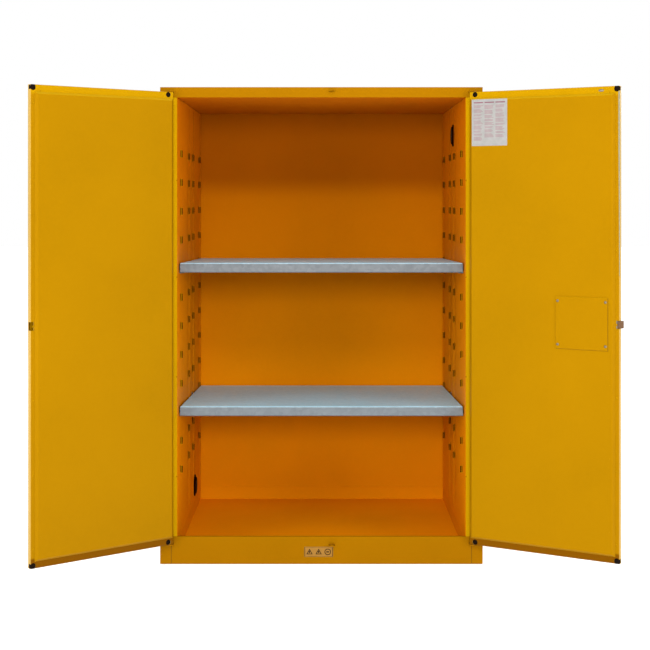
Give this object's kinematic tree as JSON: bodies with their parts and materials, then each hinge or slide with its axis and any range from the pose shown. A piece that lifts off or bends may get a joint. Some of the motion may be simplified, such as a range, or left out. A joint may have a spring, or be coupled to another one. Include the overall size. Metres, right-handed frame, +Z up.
{
  "type": "flammable storage cabinet",
  "caption": "Free-standing double-wall steel safety cabinet with paired hinged doors, louvered liner, galvanised shelves and a sump below the sill.",
  "frame": {"origin": "centre of the body's footprint, on the floor", "axes": "+X to the right seen from the front, +Y to the back, +Z up"},
  "size_m": [1.9013, 1.1892, 1.628],
  "materials": {
    "liner_paint": "satin",
    "body_paint": "satin",
    "door_paint": "satin",
    "galvanised": "spangled",
    "screen_wire": "mesh",
    "zinc_plate": "satin",
    "black_plastic": "matte",
    "paper_label": "printed",
    "amber_label": "printed"
  },
  "bodies": {
    "cabinet": {"left_outer_side": "body_paint", "right_outer_side": "body_paint", "outer_top": "body_paint", "outer_back": "body_paint", "outer_bottom": "body_paint", "base_front": "body_paint", "left_liner": "liner_paint", "right_liner": "liner_paint", "back_liner": "liner_paint", "ceiling_liner": "liner_paint", "sump_pan": "liner_paint", "left_pivot_brackets": "body_paint", "right_pivot_brackets": "body_paint", "upper_shelf": "galvanised", "lower_shelf": "galvanised", "upper_shelf_hangers": "galvanised", "lower_shelf_hangers": "galvanised", "left_vent_tube": "body_paint", "right_vent_tube": "body_paint", "left_vent_screen": "screen_wire", "right_vent_screen": "screen_wire", "left_vent_cap": "body_paint", "right_vent_cap": "body_paint", "leveling_feet": "black_plastic", "foot_brackets": "body_paint", "ground_screw": "zinc_plate", "latch_keepers": "body_paint", "base_plate_label": "amber_label"},
    "left_door": {"left_door_skin": "door_paint", "left_door_panel": "door_paint", "left_pivot_bushes": "zinc_plate", "left_door_strike": "black_plastic"},
    "right_door": {"right_door_skin": "door_paint", "right_door_panel": "door_paint", "right_pivot_bushes": "zinc_plate", "latch_case": "zinc_plate", "rod_guides": "zinc_plate", "handle_cup": "black_plastic", "access_cover": "door_paint", "access_screws": "zinc_plate", "door_label": "paper_label"},
    "paddle": {"handle_paddle": "black_plastic"},
    "lock": {"lock_plug": "zinc_plate"},
    "top_rod": {"top_rod": "zinc_plate"},
    "bottom_rod": {"bottom_rod": "zinc_plate"},
    "latch_bolt": {"latch_bolt": "zinc_plate"}
  },
  "joints": [
    {"name": "left_door_hinge", "type": "hinge", "parent": "cabinet", "child": "left_door", "pos_m": [-0.5108, -0.452, 0.84], "axis": [0, 0, 1], "range_deg": [-25.8, 144.2]},
    {"name": "right_door_hinge", "type": "hinge", "parent": "cabinet", "child": "right_door", "pos_m": [0.5108, -0.452, 0.84], "axis": [0, 0, 1], "range_deg": [-151.7, 18.3]},
    {"name": "paddle_pivot", "type": "hinge", "parent": "right_door", "child": "paddle", "pos_m": [0.83738, -0.62444, 0.904], "axis": [-0.8805, 0.4741, 0], "range_deg": [0, 25]},
    {"name": "lock_turn", "type": "hinge", "parent": "paddle", "child": "lock", "pos_m": [0.8474, -0.60583, 0.85869], "axis": [-0.4297, -0.798, -0.4226], "range_deg": [0, 90]},
    {"name": "top_rod_slide", "type": "slide", "parent": "right_door", "child": "top_rod", "axis": [0, 0, 1], "range_m": [0, 0.012]},
    {"name": "bottom_rod_slide", "type": "slide", "parent": "right_door", "child": "bottom_rod", "axis": [0, 0, -1], "range_m": [0, 0.012]},
    {"name": "latch_bolt_slide", "type": "slide", "parent": "right_door", "child": "latch_bolt", "axis": [0.8805, -0.4741, 0], "range_m": [-0.01, 0], "stiffness_N_per_m": 200, "springref_m": 0.004}
  ],
  "couplings": [
    {"joint": "top_rod_slide", "follows": "paddle_pivot", "m_per_rad": 0.0275},
    {"joint": "bottom_rod_slide", "follows": "paddle_pivot", "m_per_rad": 0.0275}
  ]
}
